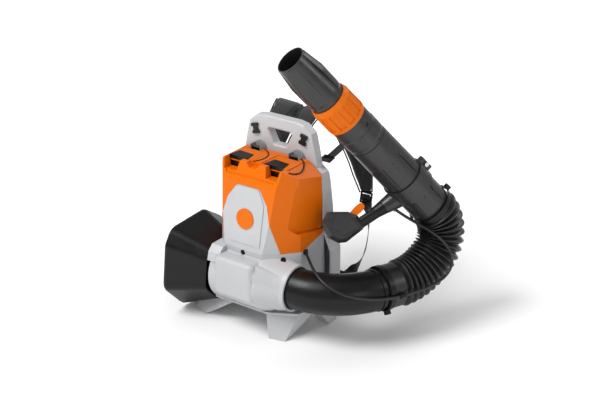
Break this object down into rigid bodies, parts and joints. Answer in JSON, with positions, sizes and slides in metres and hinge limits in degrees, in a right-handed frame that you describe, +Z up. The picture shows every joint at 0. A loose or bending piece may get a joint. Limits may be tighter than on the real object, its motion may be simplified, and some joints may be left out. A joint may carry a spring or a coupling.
{
  "type": "backpack leaf blower",
  "caption": "Battery backpack leaf blower: strapped frame with fan housing and battery cover, pleated hose and blow tube with a trigger handle.",
  "frame": {"origin": "on the floor, under the middle of the blower's box, taken without the control cable", "axes": "+Z up; -Y out of the battery cover's front; +Y towards the wearer; +X to the outlet and the blow tube"},
  "size_m": [0.6065, 0.4659, 0.7252],
  "materials": {
    "light_grey": "moulded, fine grain",
    "orange": "moulded, semi-gloss",
    "black_plastic": "moulded, fine grain",
    "dark_grey": "moulded, satin",
    "well_grey": "moulded, satin",
    "rubber": "matte",
    "steel": "bright",
    "motor_can": "black paint",
    "contacts": "plain",
    "board": "lacquered",
    "button": "satin",
    "pad_fabric": "coarse knit",
    "webbing": "woven band"
  },
  "bodies": {
    "backpack": {"back_plate": "light_grey", "base_tray": "light_grey", "fan_housing": "light_grey", "front_plate": "light_grey", "battery_cover": "orange", "badge": "orange", "battery_bay": "black_plastic", "strap_anchors": "black_plastic", "intake_funnel": "black_plastic", "intake_grille": "black_plastic", "fan_duct": "black_plastic", "stator_vanes": "black_plastic", "elbow": "black_plastic", "strap_buckles": "black_plastic", "cable_clip": "black_plastic", "hose_clamp_lower": "black_plastic", "latch_wells": "well_grey", "outlet_seal": "rubber", "pleated_hose": "rubber", "cable_gland_housing": "rubber", "control_cable": "rubber", "motor_bearings": "steel", "housing_screws": "steel", "clamp_screw_lower": "steel", "fan_motor": "motor_can", "bay_contacts": "contacts", "control_board": "board", "back_pad": "pad_fabric", "shoulder_pad_left": "pad_fabric", "shoulder_pad_right": "pad_fabric", "strap_webs": "webbing", "lifter_webs": "webbing"},
    "fan": {"fan_rotor": "black_plastic", "motor_shaft": "steel"},
    "battery_left": {"battery_left": "black_plastic", "battery_grip_left": "orange"},
    "battery_right": {"battery_right": "black_plastic", "battery_grip_right": "orange"},
    "charge_button_left": {"charge_button_left": "black_plastic"},
    "charge_button_right": {"charge_button_right": "black_plastic"},
    "latch_left": {"latch_lever_left": "black_plastic"},
    "latch_right": {"latch_lever_right": "black_plastic"},
    "blow_tube": {"rear_tube": "dark_grey", "front_tube": "dark_grey", "tube_seal": "rubber", "handle_sleeve": "dark_grey", "sleeve_bolt": "steel", "grip": "black_plastic", "control_head": "dark_grey", "head_panel": "dark_grey", "trigger_pin": "steel", "hose_clamp_upper": "black_plastic", "clamp_screw_upper": "steel", "cable_gland_handle": "rubber"},
    "nozzle": {"nozzle": "dark_grey"},
    "lock_ring": {"lock_ring": "orange"},
    "trigger": {"trigger": "orange"},
    "mode_button": {"mode_button": "button"}
  },
  "joints": [
    {"name": "fan_spin", "type": "hinge", "parent": "backpack", "child": "fan", "pos_m": [-0.1512, -0.117, 0.127], "axis": [1, 0, 0], "continuous": true},
    {"name": "hose_bend", "type": "hinge", "parent": "backpack", "child": "blow_tube", "pos_m": [0.2523, 0.18075, 0.17935], "axis": [0.9098, -0.3843, 0.1564], "range_deg": [-100, 0], "deforming": ["pleated_hose", "control_cable"]},
    {"name": "nozzle_extend", "type": "slide", "parent": "blow_tube", "child": "nozzle", "axis": [-0.3644, -0.5551, 0.7477], "range_m": [0, 0.06]},
    {"name": "lock_ring_turn", "type": "hinge", "parent": "blow_tube", "child": "lock_ring", "pos_m": [0.08675, -0.04963, 0.57489], "axis": [0.3644, 0.5551, -0.7477], "range_deg": [-30, 30]},
    {"name": "trigger_pull", "type": "hinge", "parent": "blow_tube", "child": "trigger", "pos_m": [0.0934, -0.00208, 0.29113], "axis": [-0.565, 0.7032, -0.4316], "range_deg": [0, 10], "stiffness_Nm_per_rad": 1.5, "springref_deg": -5.73},
    {"name": "mode_press", "type": "slide", "parent": "blow_tube", "child": "mode_button", "axis": [0.565, -0.7032, 0.4316], "range_m": [0, 0.0012], "stiffness_N_per_m": 600, "springref_m": -0.002},
    {"name": "battery_left_lift", "type": "slide", "parent": "backpack", "child": "battery_left", "axis": [0, 0, 1], "range_m": [0, 0.16]},
    {"name": "charge_press_left", "type": "slide", "parent": "battery_left", "child": "charge_button_left", "axis": [0, 0, -1], "range_m": [0, 0.0015], "stiffness_N_per_m": 600, "springref_m": -0.002},
    {"name": "latch_left_tilt", "type": "hinge", "parent": "backpack", "child": "latch_left", "pos_m": [-0.1682, -0.015, 0.391], "axis": [1, 0, 0], "range_deg": [-14, 0], "stiffness_Nm_per_rad": 0.5, "springref_deg": 11.46},
    {"name": "battery_right_lift", "type": "slide", "parent": "backpack", "child": "battery_right", "axis": [0, 0, 1], "range_m": [0, 0.16]},
    {"name": "charge_press_right", "type": "slide", "parent": "battery_right", "child": "charge_button_right", "axis": [0, 0, -1], "range_m": [0, 0.0015], "stiffness_N_per_m": 600, "springref_m": -0.002},
    {"name": "latch_right_tilt", "type": "hinge", "parent": "backpack", "child": "latch_right", "pos_m": [-0.0542, -0.015, 0.391], "axis": [1, 0, 0], "range_deg": [-14, 0], "stiffness_Nm_per_rad": 0.5, "springref_deg": 11.46}
  ]
}
